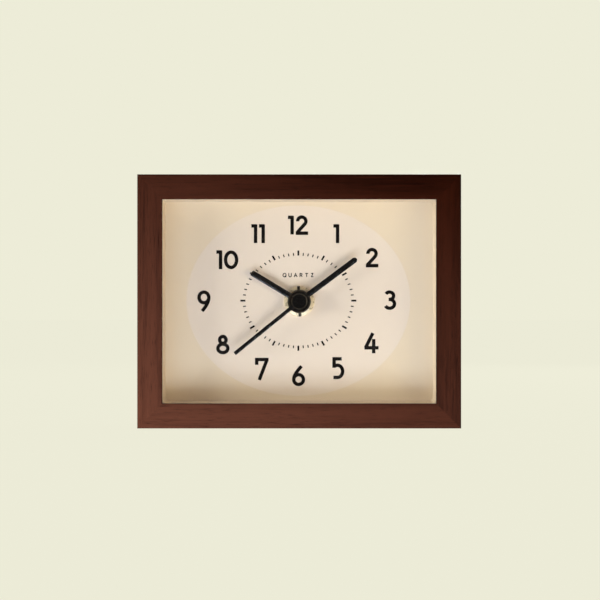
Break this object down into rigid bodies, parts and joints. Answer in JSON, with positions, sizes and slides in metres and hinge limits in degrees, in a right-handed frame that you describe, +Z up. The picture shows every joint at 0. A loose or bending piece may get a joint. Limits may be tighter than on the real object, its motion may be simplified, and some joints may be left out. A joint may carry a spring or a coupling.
{
  "type": "quartz desk clock",
  "caption": "Rectangular mitred wooden desk clock with a glass-covered cream dial, three black hands, a quartz movement and a rear cover with a hinged battery door.",
  "frame": {"origin": "middle of the underside of the frame", "axes": "-Y is the way the dial faces, +Z is up, +X is to the right as seen from the front"},
  "size_m": [0.13, 0.05, 0.102],
  "materials": {
    "walnut": "satin dark walnut stain, fine lengthwise grain",
    "pale_wood": "bare sawn softwood",
    "window_glass": "clear, polished",
    "dial_plastic": "fine matt cream, with a lighter printed oval",
    "cover_plastic": "fine spark-eroded texture",
    "case_plastic": "satin moulded",
    "brass": "turned",
    "washer_rubber": "matt",
    "gear_plastic": "natural moulded acetal",
    "gear_plastic_amber": "amber moulded acetal",
    "motor_iron": "stamped, annealed",
    "bobbin_plastic": "moulded green",
    "copper_wire": "lacquered copper wire",
    "screw_steel": "zinc plated",
    "board_laminate": "green lacquered laminate",
    "chip_resin": "glossy potting resin",
    "can_steel": "bright drawn can",
    "contact_spring": "nickel plated strip",
    "cell_can": "bright drawn can",
    "cell_film": "printed shrink film",
    "magnet": "sintered",
    "hand_black": "satin black lacquer"
  },
  "bodies": {
    "case": {"top_rail": "walnut", "bottom_rail": "walnut", "left_rail": "walnut", "right_rail": "walnut", "mitre_splines": "pale_wood", "corner_blocks": "pale_wood", "glass_pane": "window_glass", "dial_tray": "dial_plastic", "rear_cover": "cover_plastic", "cover_screws": "screw_steel", "movement_front_case": "case_plastic", "movement_rear_case": "case_plastic", "central_bush": "brass", "dial_washer": "washer_rubber", "central_nut": "brass", "train_bridge": "gear_plastic", "stator": "motor_iron", "coil_core": "motor_iron", "coil_bobbin": "bobbin_plastic", "coil_winding": "copper_wire", "stator_screws": "screw_steel", "circuit_board": "board_laminate", "control_chip": "chip_resin", "quartz_crystal": "can_steel", "positive_contact": "contact_spring", "negative_contact": "contact_spring", "battery_cell": "cell_can", "battery_sleeve": "cell_film"},
    "minute_hand": {"centre_wheel": "gear_plastic_amber", "cannon_pinion": "brass", "minute_hand": "hand_black"},
    "hour_hand": {"hour_wheel": "gear_plastic", "hour_hand": "hand_black"},
    "second_hand": {"second_wheel": "gear_plastic", "second_hand": "hand_black"},
    "third_wheel": {"third_wheel": "gear_plastic_amber"},
    "intermediate_wheel": {"intermediate_wheel": "gear_plastic"},
    "rotor": {"rotor_pinion": "gear_plastic", "rotor_magnet": "magnet"},
    "minute_work_wheel": {"minute_work_wheel": "gear_plastic"},
    "set_knob": {"set_knob": "cover_plastic"},
    "battery_door": {"battery_door": "cover_plastic"}
  },
  "joints": [
    {"name": "minute_hand_turn", "type": "hinge", "parent": "case", "child": "minute_hand", "pos_m": [0, 0, 0.051], "axis": [0, 1, 0], "continuous": true},
    {"name": "hour_hand_turn", "type": "hinge", "parent": "case", "child": "hour_hand", "pos_m": [0, 0, 0.051], "axis": [0, 1, 0], "continuous": true},
    {"name": "second_hand_turn", "type": "hinge", "parent": "case", "child": "second_hand", "pos_m": [0, 0, 0.051], "axis": [0, 1, 0], "continuous": true},
    {"name": "third_wheel_turn", "type": "hinge", "parent": "case", "child": "third_wheel", "pos_m": [-0.0045, 0, 0.05879], "axis": [0, 1, 0], "continuous": true},
    {"name": "intermediate_wheel_turn", "type": "hinge", "parent": "case", "child": "intermediate_wheel", "pos_m": [-0.00886, 0, 0.04944], "axis": [0, 1, 0], "continuous": true},
    {"name": "rotor_turn", "type": "hinge", "parent": "case", "child": "rotor", "pos_m": [-0.0151, 0, 0.05304], "axis": [0, 1, 0], "continuous": true},
    {"name": "minute_work_turn", "type": "hinge", "parent": "case", "child": "minute_work_wheel", "pos_m": [0.00705, 0, 0.05357], "axis": [0, 1, 0], "continuous": true},
    {"name": "set_knob_turn", "type": "hinge", "parent": "case", "child": "set_knob", "pos_m": [0.0108, 0, 0.06006], "axis": [0, 1, 0], "continuous": true},
    {"name": "battery_door_hinge", "type": "hinge", "parent": "case", "child": "battery_door", "pos_m": [0, 0.011, 0.0242], "axis": [-1, 0, 0], "range_deg": [0, 95]}
  ],
  "couplings": [
    {"joint": "hour_hand_turn", "follows": "minute_hand_turn", "ratio": 0.083333},
    {"joint": "second_hand_turn", "follows": "minute_hand_turn", "ratio": 60},
    {"joint": "third_wheel_turn", "follows": "minute_hand_turn", "ratio": -7.5},
    {"joint": "intermediate_wheel_turn", "follows": "minute_hand_turn", "ratio": -360},
    {"joint": "rotor_turn", "follows": "minute_hand_turn", "ratio": 1800},
    {"joint": "minute_work_turn", "follows": "minute_hand_turn", "ratio": -0.33333},
    {"joint": "set_knob_turn", "follows": "minute_hand_turn", "ratio": 1}
  ]
}
